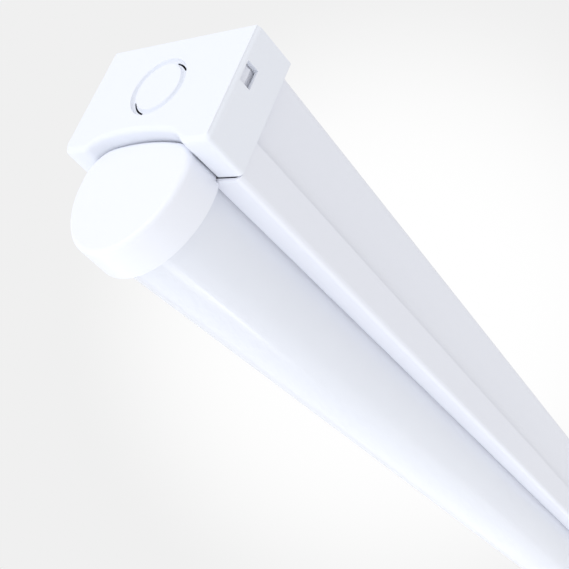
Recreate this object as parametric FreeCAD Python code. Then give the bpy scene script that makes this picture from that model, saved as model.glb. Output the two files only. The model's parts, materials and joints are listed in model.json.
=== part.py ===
import FreeCAD, Part
import math
import os

V = FreeCAD.Vector

# A ceiling batten light, 4 ft nominal. X runs along the light, Z is up, and the ceiling is z = 0.
# The near end is at low X. Heights are written as drops below the ceiling. All sizes in mm.

# Overall
overall_length = 1200.0
moving_gap = 0.4            # air gap between pieces that come apart
seat_gap = 0.2              # clearance of a plastic piece in its seat
edge_steps = 2              # flats across each rounded edge of the moulded caps

# Spine: the folded steel channel that is fixed to the ceiling
spine_side_step = 2.0       # its sides stand this far inside those of the caps and the tray
spine_sheet = 1.0
spine_top_drop = 2.0        # the bosses stand this far above the channel's back
spine_bottom_drop = 36.0
spine_corner_radius = 2.0   # inside of the fold
fixing_spacing = 700.0
fixing_boss_length = 44.0
fixing_boss_width = 24.0
fixing_slot_width = 5.5
fixing_slot_length = 16.0
box_screw_spacing = 50.8    # the usual spacing on a round conduit box
box_slot_width = 4.6
box_slot_length = 9.6
centre_boss_length = 90.0
centre_boss_width = 44.0
entry_radius = 10.25        # lets a 20 mm conduit thread through
entry_collar = 3.0          # the edge of the entry is turned down this far
barb_length = 2.8
barb_height = 5.6
barb_rise = 1.0

# Body end caps: moulded caps that close the spine's ends
cap_width = 66.0
cap_height = 41.9
cap_depth = 17.4
cap_wall = 1.8
cap_draft = 0.65            # the sides and the feet stand out this much more at the back
cap_edge_radius = 0.7
foot_corner_radius = 1.6
arch_drop = 36.0
arch_crown_radius = 100.0
arch_shoulder_radius = 8.0
arch_width = 46.6           # where the shoulders stand upright, at the front
arch_draft = 1.3            # the arch is this much wider all round at the back
arch_edge_radius = 1.7
knockout_drop = 19.0
knockout_radius = 10.15     # middle of the groove, for a 20 mm gland
knockout_groove = 1.9
knockout_groove_depth = 0.7
knockout_slit = 0.9
window_start = 2.0
window_length = 4.9
window_drop = 12.0
window_height = 7.2
knockout_slits = ((35.0, 78.0), (195.0, 262.0))   # cut right through, degrees from the right

# Gear tray: the folded steel tray that carries the lamp and hangs under the spine
tray_sheet = 1.0
tray_top_drop = 30.0
tray_bottom_drop = 43.7
tray_fold_radius = 1.4
channel_depth = 5.0         # the tray's floor is set in this far for the diffuser and the boards
channel_lean = 1.0          # its walls lean out by this, which holds the diffuser's edges
channel_fold_radius = 0.2
board_tab_shares = (0.06, 0.5, 0.94)   # where the boards' tabs stand along each board
board_tab_length = 8.0
board_tab_hold = 1.7

# Diffuser: the opal extrusion clipped into the tray's channel
diffuser_half_width = 21.2
diffuser_drop = 74.0
diffuser_bottom_radius = 19.4
widest_drop = 50.5          # where the diffuser and its end caps are widest
diffuser_wall = 1.4
diffuser_inset = 12.4       # how far it starts from the light's end

# Diffuser end caps: they sit under the arches and sleeve over the diffuser's ends
lamp_cap_start = 5.3        # set back from the light's end
lamp_cap_rim = 18.7         # where the rim ends
lamp_cap_drop = 78.0        # at the rim
lamp_cap_bottom_radius = 22.5
lamp_cap_wall = 1.9
lamp_cap_edge_radius = 2.0
lamp_cap_face_end = 12.2    # solid from its face to here, where the diffuser's end stops
tongue_width = 8.0
tongue_thickness = 1.0
tongue_length = 15.0
tongue_root = 4.0           # runs on into the cap

# Light-emitting boards
board_end_gap = 21.2        # from a board's outer end to the tray's end
board_width = 24.0
board_thickness = 1.5
board_joint = 2.0           # gap between the two boards
emitter_count = 24          # on each board
emitter_length = 2.8
emitter_width = 3.5
emitter_height = 0.7
link_length = 12.0
link_width = 10.0
link_height = 3.0
socket_length = 12.0

# Driver
driver_end_gap = 72.2       # from the driver's far end to the tray's end
driver_length = 240.0
driver_width = 36.0
driver_height = 20.0
driver_cover_height = 2.4
driver_cover_inset = 1.0
driver_corner_chamfer = 1.5
driver_ear_length = 10.0
driver_ear_width = 8.0
driver_ear_height = 2.0
driver_screw_inset = 2.5    # from the case's side to the ear screw's middle
driver_ear_root = 4.0       # runs on into the case
cooling_rib_count = 5
cooling_groove_width = 2.0
cooling_groove_depth = 1.0
cooling_groove_margin = 10.0   # from the grooves' ends to the cover's ends

# Terminal block with one release button for each pole
terminal_start = 50.0
terminal_length = 24.0
terminal_width = 33.0
terminal_height = 17.0
pole_spacing = 10.0
button_length = 6.0
button_width = 4.6
button_depth = 8.0
button_proud = 2.5
button_fit = 0.2
wire_entry_half = 1.9
wire_entry_depth = 8.0
wire_entry_height = 7.0

# Leads, screws and spring clips
lead_radius = 1.1
lead_flat_count = 4
lead_bend = 1.8             # middle-line radius of a lead's bends
screw_radius = 1.5
screw_hole_clearance = 0.1
screw_head_radius = 3.0     # to the corners of the hexagon
screw_head_height = 1.6
screw_length = 5.0
head_flat_count = 6
shank_flat_count = 12
earth_screw_gap = 26.0      # from the terminal block to the earth screw
earth_screw_offset = 15.0
lug_thickness = 0.8
lug_length = 11.0
lug_crimp = 4.0             # the earth lead runs this far over the lug
lug_rise = 4.0              # straight run of the earth lead before the crimp
clip_driver_gap = 13.0      # from a spring clip to the driver's ear
clip_length = 14.0
clip_sheet = 0.6
clip_bead_drop = 21.0
clip_tip_drop = 13.0
clip_tip_inset = 3.5
clip_root_inset = 2.0
clip_root_lean = 4.0
clip_root_rise = 2.0
clip_fold_radius = 1.5
clip_foot_length = 8.0
clip_foot_offset = 14.0
clip_hook = 2.0
bush_board_gap = 11.0       # from the board's outer end to the bush's middle
bush_offset = -8.6
bush_half = 3.2
bush_lip = 1.0
saddle_shares = (0.25, 0.6)    # where the saddles stand along the mains leads
saddle_length = 8.0

# Worked out from the sizes above
half_length = overall_length / 2.0
tray_width = cap_width
spine_half = cap_width / 2.0 - spine_side_step
spine_start = -half_length + cap_wall + moving_gap
tray_start = -half_length + cap_depth + moving_gap
floor_under = -(tray_bottom_drop - channel_depth)
floor_top = floor_under + tray_sheet
cap_inner_half = spine_half + 0.75 * moving_gap
board_end = -tray_start - board_end_gap
board_length = board_end - board_joint / 2.0
driver_end = -tray_start - driver_end_gap
driver_start = driver_end - driver_length
terminal_end = terminal_start + terminal_length
earth_screw_place = terminal_end + earth_screw_gap
clip_place = driver_start - driver_ear_length - clip_driver_gap - clip_length / 2.0
bush_place = board_end + bush_board_gap
past = 1.0                  # cuts run on past the solid by this much


def side_radius(half_width, drop, bottom_radius):
    """Radius of the side arcs that join upright sides to the bottom arc without a corner."""
    depth = drop - bottom_radius - widest_drop
    return (half_width ** 2 + depth ** 2 - bottom_radius ** 2) / (2.0 * (half_width - bottom_radius))


def diffuser_half_width_at(z):
    """Half width of the diffuser's outer outline at height z."""
    radius = side_radius(diffuser_half_width, diffuser_drop, diffuser_bottom_radius)
    return diffuser_half_width - radius + math.sqrt(radius ** 2 - (z + widest_drop) ** 2)


channel_mouth_half = diffuser_half_width_at(-tray_bottom_drop) + seat_gap


def box(x0, x1, y0, y1, z0, z1):
    """Block between two opposite corners."""
    return Part.makeBox(x1 - x0, y1 - y0, z1 - z0, V(x0, y0, z0))


def drum(radius, height, x, y, z):
    """Upright cylinder standing on z."""
    return Part.makeCylinder(radius, height, V(x, y, z))


def obround(length, width, height, x, y, z):
    """Upright block with half-round ends, its long way along X."""
    radius = width / 2.0
    reach = length / 2.0 - radius
    middle = box(x - reach, x + reach, y - radius, y + radius, z, z + height)
    ends = [drum(radius, height, x + side * reach, y, z) for side in (1, -1)]
    return middle.fuse(ends).removeSplitter()


def block_beside(x0, x1, y0, y1, z0, z1, side):
    """Block on one side of the light: y0 and y1 are distances from its middle line."""
    low, high = sorted((side * y0, side * y1))
    return box(x0, x1, low, high, z0, z1)


def far_end(shape):
    """The same piece at the other end of the light."""
    return shape.mirror(V(0, 0, 0), V(1, 0, 0))


def folded_strip(path, thickness, folds):
    """Face of a folded sheet strip. The path holds the (y, z) corners of its middle line, and
    folds holds the inside radius of each corner."""
    half = thickness / 2.0
    points = [V(0, y, z) for y, z in path]
    sides = {1: [], -1: []}
    start = {side: None for side in sides}

    def edge_point(point, direction, side):
        normal = V(0, -direction.z, direction.y)
        return point + normal * (side * half)

    direction = (points[1] - points[0]).normalize()
    for side in sides:
        start[side] = edge_point(points[0], direction, side)
    last = dict(start)
    for corner, following, fold in zip(points[1:-1], points[2:], folds):
        leaving = (following - corner).normalize()
        turn = math.atan2(direction.y * leaving.z - direction.z * leaving.y, direction.dot(leaving))
        hand = 1 if turn > 0 else -1
        middle_radius = fold + half
        tangent = middle_radius * math.tan(abs(turn) / 2.0)
        first = corner - direction * tangent
        centre = first + V(0, -direction.z, direction.y) * (hand * middle_radius)
        outwards = (corner - centre).normalize()
        for side in sides:
            radius = middle_radius - side * hand * half
            begin = edge_point(first, direction, side)
            end = edge_point(corner + leaving * tangent, leaving, side)
            sides[side].append(Part.LineSegment(last[side], begin).toShape())
            sides[side].append(Part.Arc(begin, centre + outwards * radius, end).toShape())
            last[side] = end
        direction = leaving
    finish = {side: edge_point(points[-1], direction, side) for side in sides}
    for side in sides:
        sides[side].append(Part.LineSegment(last[side], finish[side]).toShape())
    ends = [
        Part.LineSegment(start[1], start[-1]).toShape(),
        Part.LineSegment(finish[1], finish[-1]).toShape(),
    ]
    return Part.Face(Part.Wire(Part.sortEdges(sides[1] + sides[-1] + ends)[0]))


def along_x(face, start, length):
    """Extrude a face drawn in the plane x = 0."""
    moved = face.copy()
    moved.translate(V(start, 0, 0))
    return moved.extrude(V(length, 0, 0))


def rounding(radius):
    """Steps along a rounded edge, as pairs of depth from the face and inset from the side."""
    turns = [math.radians(90.0 * step / edge_steps) for step in range(edge_steps + 1)]
    return [(radius * (1.0 - math.sin(turn)), radius * (1.0 - math.cos(turn))) for turn in reversed(turns)]


# ---------------------------------------------------------------- spine

def spine_channel():
    side = spine_half - spine_sheet / 2.0
    back = -spine_top_drop - spine_sheet / 2.0
    path = [(-side, -spine_bottom_drop), (-side, back), (side, back), (side, -spine_bottom_drop)]
    face = folded_strip(path, spine_sheet, [spine_corner_radius] * 2)
    return along_x(face, spine_start, -2.0 * spine_start)


def pressed_boss(channel, length, width, x):
    """Raise an obround pad on the channel's back, pressed up from the same sheet."""
    base = -spine_top_drop - spine_sheet / 2.0
    pad = obround(length, width, -base, x, 0, base)
    inner_length = length - 2.0 * spine_sheet
    inner_width = width - 2.0 * spine_sheet
    inside = obround(inner_length, inner_width, spine_top_drop, x, 0, -spine_top_drop - spine_sheet)
    return channel.fuse(pad).cut(inside)


def fixing_slot(length, width, x):
    """Obround slot through the top of a boss."""
    return obround(length, width, spine_sheet + 2.0 * past, x, 0, -spine_sheet - past)


def barb(side):
    """Small wedge on the channel's wall that snaps into the end cap's window."""
    wall = side * (spine_half - spine_sheet / 2.0)
    face_y = side * spine_half
    peak_y = side * (spine_half + barb_rise)
    x0 = -half_length + window_start + moving_gap
    x1 = x0 + barb_length
    z0 = -window_drop - (window_height + barb_height) / 2.0
    corners = [V(x0, wall, z0), V(x0, face_y, z0), V(x1, peak_y, z0), V(x1, wall, z0)]
    return Part.Face(Part.makePolygon(corners + corners[:1])).extrude(V(0, 0, barb_height))


def spine():
    body = spine_channel()
    for x in (-fixing_spacing / 2.0, fixing_spacing / 2.0):
        body = pressed_boss(body, fixing_boss_length, fixing_boss_width, x)
        body = body.cut(fixing_slot(fixing_slot_length, fixing_slot_width, x))
    body = pressed_boss(body, centre_boss_length, centre_boss_width, 0)
    for x in (-box_screw_spacing / 2.0, box_screw_spacing / 2.0):
        body = body.cut(fixing_slot(box_slot_length, box_slot_width, x))
    collar = drum(entry_radius + spine_sheet, entry_collar, 0, 0, -entry_collar)
    entry = drum(entry_radius, entry_collar + 2.0 * past, 0, 0, -entry_collar - past)
    barbs = [barb(1), barb(-1)]
    barbs += [far_end(piece) for piece in barbs]
    return body.fuse([collar] + barbs).cut(entry).removeSplitter()


# ---------------------------------------------------------------- body end caps

def draft_growth(depth):
    """How far the draft has opened the arch out at a depth from the light's end."""
    return arch_draft * depth / cap_depth


def crown_and_shoulders(x, offset):
    """Top of the arch, set out all round from its front outline by the offset: a wide crown arc
    and a shoulder arc on each side. Gives its edges and the shoulders' upright ends."""
    shoulder_y = arch_width / 2.0 - arch_shoulder_radius
    reach = arch_crown_radius - arch_shoulder_radius
    shoulder_z = math.sqrt(reach ** 2 - shoulder_y ** 2) - arch_crown_radius - arch_drop
    radius = arch_shoulder_radius + offset
    lean = math.asin(shoulder_y / reach)
    level = math.pi / 2.0

    def on_shoulder(angle, side):
        return V(x, side * (shoulder_y + radius * math.sin(angle)), shoulder_z + radius * math.cos(angle))

    crown = V(x, 0, offset - arch_drop)
    edges = [Part.Arc(on_shoulder(lean, -1), crown, on_shoulder(lean, 1)).toShape()]
    ends = {}
    for side in (1, -1):
        ends[side] = on_shoulder(level, side)
        middle = on_shoulder((lean + level) / 2.0, side)
        edges.append(Part.Arc(on_shoulder(lean, side), middle, ends[side]).toShape())
    return edges, ends


def arch_wire(depth, offset):
    """Outline of the space under the arch at a depth, set out all round by the offset."""
    x = depth - half_length
    edges, ends = crown_and_shoulders(x, draft_growth(depth) + offset)
    corners = {side: V(x, ends[side].y, -2.0 * cap_height) for side in ends}
    edges += [Part.LineSegment(ends[side], corners[side]).toShape() for side in ends]
    edges.append(Part.LineSegment(corners[1], corners[-1]).toShape())
    return Part.Wire(Part.sortEdges(edges)[0])


def arch_space(stations):
    """The space under the arch through a list of depths and what it is set out by there."""
    return Part.makeLoft([arch_wire(depth, offset) for depth, offset in stations], True, True)


def cap_outline(x, grow):
    """Outline of the body cap at x, its sides and underside moved out by the growth. It runs on
    above the ceiling face, which cuts it off."""
    half_width = cap_width / 2.0 + grow
    low = -cap_height - grow
    bend = foot_corner_radius
    turn = bend * (1.0 - math.sqrt(0.5))
    ends = {}
    edges = []
    for side in (1, -1):
        y = side * half_width
        top = V(x, y, cap_wall)
        upright = V(x, y, low + bend)
        middle = V(x, y - side * turn, low + turn)
        ends[side] = (top, V(x, y - side * bend, low))
        edges.append(Part.LineSegment(top, upright).toShape())
        edges.append(Part.Arc(upright, middle, ends[side][1]).toShape())
    edges.append(Part.LineSegment(ends[1][0], ends[-1][0]).toShape())
    edges.append(Part.LineSegment(ends[1][1], ends[-1][1]).toShape())
    return Part.Wire(Part.sortEdges(edges)[0])


def knockout_cut(x):
    """Shallow ring groove on the front face, with two arcs of it cut right through."""
    centre = V(x - past, 0, -knockout_drop)
    along = V(1, 0, 0)

    def ring(width, depth):
        outer = Part.makeCylinder(knockout_radius + width / 2.0, depth + past, centre, along)
        return outer.cut(Part.makeCylinder(knockout_radius - width / 2.0, depth + past, centre, along))

    slit = ring(knockout_slit, cap_wall + past)
    parts = [ring(knockout_groove, knockout_groove_depth)]
    for first, last in knockout_slits:
        wedge = pie_slice(centre, first, last, 2.0 * knockout_radius, cap_wall + 2.0 * past)
        parts.append(slit.common(wedge))
    return parts


def pie_slice(centre, first, last, radius, depth):
    """Wedge about the X axis through the centre, between two angles seen from the front."""
    def at(angle):
        turn = math.radians(angle)
        return centre + V(0, -math.cos(turn), math.sin(turn)) * radius

    outline = Part.makePolygon([centre, at(first), at((first + last) / 2.0), at(last), centre])
    return Part.Face(outline).extrude(V(depth, 0, 0))


def cap_shell():
    """Outer form of the body cap: rounded front edges, side draft, and the arch below."""
    front = -half_length
    back = front + cap_depth
    sections = [cap_outline(front + depth, -inset) for depth, inset in rounding(cap_edge_radius)]
    shell = Part.makeLoft(sections + [cap_outline(back, cap_draft)], True, True)
    above = box(front - past, back + past, -cap_width, cap_width, 0, 2.0 * cap_wall)
    flare = [(-past, arch_edge_radius)] + rounding(arch_edge_radius) + [(cap_depth + past, 0.0)]
    return shell.cut([above, arch_space(flare)])


def cap_hollow():
    """Inside of the body cap, with a wall left all round and over the arch."""
    hollow = box(cap_wall - half_length, cap_depth + past - half_length, -cap_inner_half, cap_inner_half,
                 -cap_height + cap_wall, -spine_top_drop + seat_gap)
    over_arch = Part.Face(arch_wire(cap_depth, cap_wall))
    over_arch.translate(V(-cap_depth, 0, 0))
    return hollow.cut(over_arch.extrude(V(cap_depth + 2.0 * past, 0, 0)))


def snap_cuts(side):
    """Window for the spine's barb, and the groove inside the wall that guides the barb to it."""
    start = window_start - half_length
    back = cap_depth + past - half_length
    inside = cap_inner_half - past
    window = block_beside(start, start + window_length, inside, cap_width,
                          -window_drop - window_height, -window_drop, side)
    middle = -window_drop - window_height / 2.0
    reach = barb_height / 2.0 + moving_gap
    groove = block_beside(start, back, inside, spine_half + barb_rise + seat_gap / 2.0,
                          middle - reach, middle + reach, side)
    return [window, groove]


def end_cap():
    cuts = [cap_hollow()] + knockout_cut(-half_length) + snap_cuts(1) + snap_cuts(-1)
    return cap_shell().cut(cuts).removeSplitter()


# ---------------------------------------------------------------- gear tray

def tray_strip():
    half = tray_sheet / 2.0
    side = tray_width / 2.0 - half
    band = -tray_bottom_drop + half
    mouth = channel_mouth_half + half
    floor = floor_under + half
    path = [(side, -tray_top_drop), (side, band), (mouth, band), (mouth + channel_lean, floor)]
    path += [(-y, z) for y, z in reversed(path)]
    folds = [tray_fold_radius, channel_fold_radius, channel_fold_radius]
    return folded_strip(path, tray_sheet, folds + folds[::-1])


def screw_hole(x, y):
    """Hole through the tray's floor and whatever is screwed to it there."""
    radius = screw_radius + screw_hole_clearance
    outline = flat_sided(V(x, y, floor_top - screw_length), V(0, 0, 1), V(1, 0, 0), radius, shank_flat_count)
    return outline.extrude(V(0, 0, 2.0 * screw_length))


def clip_slot(x, side):
    """Slot in the tray's floor for a hooked foot of a spring clip."""
    reach = clip_foot_length / 2.0 + seat_gap
    inner = clip_foot_offset - seat_gap
    outer = clip_foot_offset + clip_sheet + seat_gap
    return block_beside(x - reach, x + reach, inner, outer, floor_under - past, floor_top + past, side)


def board_tab_places():
    places = []
    for sign in (-1, 1):
        for share in board_tab_shares:
            places.append(sign * (board_joint / 2.0 + share * board_length))
    return places


def board_tab(x, side):
    """Tab bent down from the tray's floor and in under the edge of a board."""
    reach = board_tab_length / 2.0
    near = board_width / 2.0 + seat_gap
    far = near + tray_sheet
    lip_top = floor_under - board_thickness
    upright = block_beside(x - reach, x + reach, near, far, lip_top - tray_sheet, floor_under, side)
    lip = block_beside(x - reach, x + reach, near - board_tab_hold, far, lip_top - tray_sheet, lip_top, side)
    return upright.fuse(lip)


def gear_tray():
    body = along_x(tray_strip(), tray_start, -2.0 * tray_start)
    tabs = [board_tab(x, side) for x in board_tab_places() for side in (1, -1)]
    body = body.fuse(tabs).removeSplitter()
    holes = [screw_hole(x, y) for x, y in driver_screw_places()]
    holes += [screw_hole(x, 0) for x in tongue_screw_places()]
    holes.append(screw_hole(earth_screw_place, earth_screw_offset))
    holes.append(bush_block(bush_half, floor_under - past, floor_top + past))
    holes += [clip_slot(x, side) for x in (-clip_place, clip_place) for side in (1, -1)]
    return body.cut(holes)


# ---------------------------------------------------------------- diffuser

def bowl(x, half_width, drop, bottom_radius):
    """Lower half of an oval at x: a side arc, the bottom arc and the other side arc."""
    side = side_radius(half_width, drop, bottom_radius)
    bottom_centre = V(x, 0, bottom_radius - drop)
    bottom = V(x, 0, -drop)
    edges = []
    joins = {}
    for hand in (1, -1):
        centre = V(x, hand * (half_width - side), -widest_drop)
        outwards = (bottom_centre - centre).normalize()
        joins[hand] = centre + outwards * side
        level = V(0, hand, 0)
        middle = centre + (outwards + level).normalize() * side
        edges.append(Part.Arc(centre + level * side, middle, joins[hand]).toShape())
    edges.append(Part.Arc(joins[1], bottom, joins[-1]).toShape())
    return edges


def oval_block(x0, x1, grow):
    """The diffuser's form from x0 to x1, grown all round, with upright sides above its widest line."""
    half_width = diffuser_half_width + grow
    edges = bowl(x0, half_width, diffuser_drop + grow, diffuser_bottom_radius + grow)
    radius = side_radius(diffuser_half_width, diffuser_drop, diffuser_bottom_radius) + grow
    rise = widest_drop - tray_bottom_drop
    for hand in (1, -1):
        centre = V(x0, hand * (half_width - radius), -widest_drop)
        level = centre + V(0, hand * radius, 0)
        turn = math.asin(rise / radius)
        top = centre + V(0, hand * radius * math.cos(turn), rise)
        middle = centre + V(0, hand * radius * math.cos(turn / 2.0), radius * math.sin(turn / 2.0))
        edges.append(Part.Arc(level, middle, top).toShape())
        edges.append(Part.LineSegment(top, V(x0, 0, top.z)).toShape())
    return Part.Face(Part.Wire(Part.sortEdges(edges)[0])).extrude(V(x1 - x0, 0, 0))


def diffuser():
    start = -half_length + diffuser_inset
    top = -tray_bottom_drop
    trough = oval_block(start, -start, 0.0)
    trough = trough.cut(oval_block(start - past, past - start, -diffuser_wall))
    edge_start = tray_start + moving_gap
    edges = []
    leg_top = floor_under - seat_gap
    lean = channel_lean * (leg_top - top) / channel_depth
    outer = channel_mouth_half - seat_gap
    for side in (1, -1):
        outline = [(outer, top), (outer + lean, leg_top), (outer + lean - diffuser_wall, leg_top),
                   (outer - diffuser_wall, top - diffuser_wall / 2.0)]
        points = [V(edge_start, side * y, z) for y, z in outline]
        face = Part.Face(Part.makePolygon(points + points[:1]))
        edges.append(face.extrude(V(-2.0 * edge_start, 0, 0)))
    return trough.fuse(edges).removeSplitter()


# ---------------------------------------------------------------- diffuser end caps

def lamp_cap_section(depth, draft_depth, inset):
    """Outline of the diffuser cap at a depth, set in from its outer face. It follows the arch
    above, with the moving gap, and is an oval below. The draft is that of the draft depth."""
    x = depth - half_length
    edges, ends = crown_and_shoulders(x, draft_growth(draft_depth) - moving_gap - inset)
    shrink = draft_growth(lamp_cap_rim - draft_depth) + inset
    edges += bowl(x, ends[1].y, lamp_cap_drop - shrink, lamp_cap_bottom_radius - shrink)
    edges += [Part.LineSegment(ends[side], V(x, ends[side].y, -widest_drop)).toShape() for side in ends]
    return Part.Wire(Part.sortEdges(edges)[0])


def lamp_cap_shell():
    """Outer form of the diffuser cap: a rounded front edge, then the draft out to the rim."""
    edge_depth = lamp_cap_start + lamp_cap_edge_radius
    sections = [lamp_cap_section(lamp_cap_start + depth, edge_depth, inset)
                for depth, inset in rounding(lamp_cap_edge_radius)]
    sections.append(lamp_cap_section(lamp_cap_rim, lamp_cap_rim, 0.0))
    return Part.makeLoft(sections, True, True)


def lamp_cap_pocket(start, end):
    """Straight pocket in the diffuser cap between two depths, a wall's thickness inside it."""
    section = lamp_cap_section(start, start, lamp_cap_wall)
    return Part.Face(section).extrude(V(end - start, 0, 0))


def diffuser_cap():
    rim = lamp_cap_rim + past - half_length
    under_tray = -tray_bottom_drop - moving_gap
    tray_gap = tray_start - moving_gap
    above_tray = box(tray_gap, rim, -tray_width, tray_width, under_tray, 0)
    below_tray = box(-half_length, rim, -tray_width, tray_width, -2.0 * cap_height, under_tray)
    crown = lamp_cap_pocket(lamp_cap_face_end, cap_depth + past).cut(below_tray)
    sleeve = oval_block(lamp_cap_face_end - half_length, rim, seat_gap)
    body = lamp_cap_shell().cut([above_tray, crown, sleeve])

    tongue = box(tray_gap - tongue_root, tray_start + tongue_length, -tongue_width / 2.0, tongue_width / 2.0,
                 floor_top, floor_top + tongue_thickness)
    return body.fuse(tongue).cut(screw_hole(tongue_screw_places()[0], 0)).removeSplitter()


# ---------------------------------------------------------------- screws

def flat_sided(centre, along, across, radius, flats):
    """Regular face about the centre, square to the line along, with corners at the radius."""
    upright = V(along).normalize().cross(across)
    points = []
    for index in range(flats):
        angle = (index + 0.5) * 2.0 * math.pi / flats
        points.append(centre + (across * math.cos(angle) + upright * math.sin(angle)) * radius)
    return Part.Face(Part.makePolygon(points + points[:1]))


def screw(x, y, seat):
    """Hexagon-headed screw driven down, its head on the seat height."""
    top = V(x, y, seat)
    up = V(0, 0, 1)
    head = flat_sided(top, up, V(1, 0, 0), screw_head_radius, head_flat_count)
    shank = flat_sided(top, up, V(1, 0, 0), screw_radius, shank_flat_count)
    return head.extrude(up * screw_head_height).fuse(shank.extrude(up * -screw_length)).removeSplitter()


def driver_screw_places():
    """One ear at each end of the driver, on opposite sides."""
    inset = driver_ear_length / 2.0
    offset = driver_width / 2.0 - driver_screw_inset
    return [(driver_start - inset, offset), (driver_end + inset, -offset)]


def tongue_screw_places():
    place = tray_start + tongue_length / 2.0
    return [place, -place]


def driver_screws():
    seat = floor_top + driver_ear_height
    return Part.makeCompound([screw(x, y, seat) for x, y in driver_screw_places()])


def diffuser_cap_screws():
    seat = floor_top + tongue_thickness
    return Part.makeCompound([screw(x, 0, seat) for x in tongue_screw_places()])


def earth_screw():
    return screw(earth_screw_place, earth_screw_offset, floor_top + lug_thickness)


# ---------------------------------------------------------------- light-emitting boards

def led_board():
    """The far board; the near one is its mirror."""
    return box(board_joint / 2.0, board_end, -board_width / 2.0, board_width / 2.0,
               floor_under - board_thickness, floor_under)


def led_emitters():
    """Two staggered rows of emitters under the far board, the outermost clear of the socket."""
    top = floor_under - board_thickness
    pitch = board_length / emitter_count
    pieces = []
    for index in range(emitter_count):
        x = board_end - (index + 0.5) * pitch
        y = (-1) ** index * board_width / 4.0
        along = emitter_length / 2.0
        across = emitter_width / 2.0
        pieces.append(box(x - along, x + along, y - across, y + across, top - emitter_height, top))
    return Part.makeCompound(pieces)


def board_link():
    top = floor_under - board_thickness
    half = link_width / 2.0
    return box(-link_length / 2.0, link_length / 2.0, -half, half, top - link_height, top)


def board_socket():
    """Socket at the far board's end that takes the driver's output leads."""
    top = floor_under - board_thickness
    y0 = -board_width / 2.0
    body = box(board_end - socket_length, board_end, y0, y0 + link_width, top - link_height, top)
    hole = lead_radius + seat_gap / 2.0
    return body.cut([wire_entry(board_end, -1, y, z, hole) for y, z in socket_holes()])


def socket_holes():
    z = floor_under - board_thickness - link_height / 2.0
    return [(y, z) for y in lead_pair(bush_offset)]


# ---------------------------------------------------------------- driver

def driver_case():
    half = driver_width / 2.0
    body = box(driver_start, driver_end, -half, half, floor_top, floor_top + driver_height)
    corners = [edge for edge in body.Edges if edge.BoundBox.ZLength > driver_height / 2.0]
    body = body.makeChamfer(driver_corner_chamfer, corners)
    ear_top = floor_top + driver_ear_height
    inner = half - driver_ear_width
    ears = [
        block_beside(driver_start - driver_ear_length, driver_start + driver_ear_root, inner, half,
                     floor_top, ear_top, 1),
        block_beside(driver_end - driver_ear_root, driver_end + driver_ear_length, inner, half,
                     floor_top, ear_top, -1)]
    holes = [screw_hole(x, y) for x, y in driver_screw_places()]
    hole = lead_radius + seat_gap / 4.0
    holes += [wire_entry(driver_start, 1, y, z, hole) for y, z in driver_inputs()]
    holes += [wire_entry(driver_end, -1, y, z, hole) for y, z in driver_outputs()]
    return body.fuse(ears).cut(holes).removeSplitter()


def driver_inputs():
    """The driver's inputs line up with two poles of the terminal block."""
    z = floor_top + wire_entry_height
    return [(y, z) for pole, y in pole_places().items() if pole != "earth"]


def lead_pair(y):
    """Places of the two output leads, side by side about y."""
    return [y - lead_radius - seat_gap / 2.0, y + lead_radius + seat_gap / 2.0]


def driver_outputs():
    z = floor_top + driver_height / 2.0
    return [(y, z) for y in lead_pair(bush_offset)]


def driver_cover():
    """Lid of the driver, with a row of cooling ribs."""
    x0 = driver_start + driver_cover_inset
    x1 = driver_end - driver_cover_inset
    half = driver_width / 2.0 - driver_cover_inset
    base = floor_top + driver_height
    top = base + driver_cover_height
    body = box(x0, x1, -half, half, base, top)
    pitch = 2.0 * half / cooling_rib_count
    grooves = []
    for index in range(1, cooling_rib_count):
        y = index * pitch - half - cooling_groove_width / 2.0
        grooves.append(box(x0 + cooling_groove_margin, x1 - cooling_groove_margin,
                           y, y + cooling_groove_width, top - cooling_groove_depth, top + past))
    return body.cut(grooves)


# ---------------------------------------------------------------- terminal block

def pole_places():
    return {"live": -pole_spacing, "neutral": 0.0, "earth": pole_spacing}


def button_block(y, fit, z0, z1):
    """Block of a release button between two heights, grown sideways by the fit."""
    x = terminal_start + terminal_length / 2.0
    along = button_length / 2.0 + fit
    across = button_width / 2.0 + fit
    return box(x - along, x + along, y - across, y + across, z0, z1)


def wire_entry(x, hand, y, z, half):
    """Square hole for a wire in an end face at x."""
    low, high = sorted((x, x + hand * wire_entry_depth))
    return box(low, high, y - half, y + half, z - half, z + half)


def terminal_block():
    half = terminal_width / 2.0
    top = floor_top + terminal_height
    body = box(terminal_start, terminal_end, -half, half, floor_top, top)
    slopes = [edge for edge in body.Edges if edge.BoundBox.YLength > half and edge.BoundBox.ZMin > top - past]
    body = body.makeChamfer(terminal_height / 4.0, slopes)
    z = floor_top + wire_entry_height
    cuts = []
    for y in pole_places().values():
        cuts.append(button_block(y, button_fit, top - button_depth, top + past))
        cuts.append(wire_entry(terminal_start, 1, y, z, wire_entry_half))
        cuts.append(wire_entry(terminal_end, -1, y, z, lead_radius + seat_gap))
    return body.cut(cuts).removeSplitter()


def terminal_button(y):
    """Release button: it stands proud of the block and sinks by its travel."""
    top = floor_top + terminal_height + button_proud
    return button_block(y, 0.0, top - button_depth, top)


# ---------------------------------------------------------------- leads and what holds them

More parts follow.
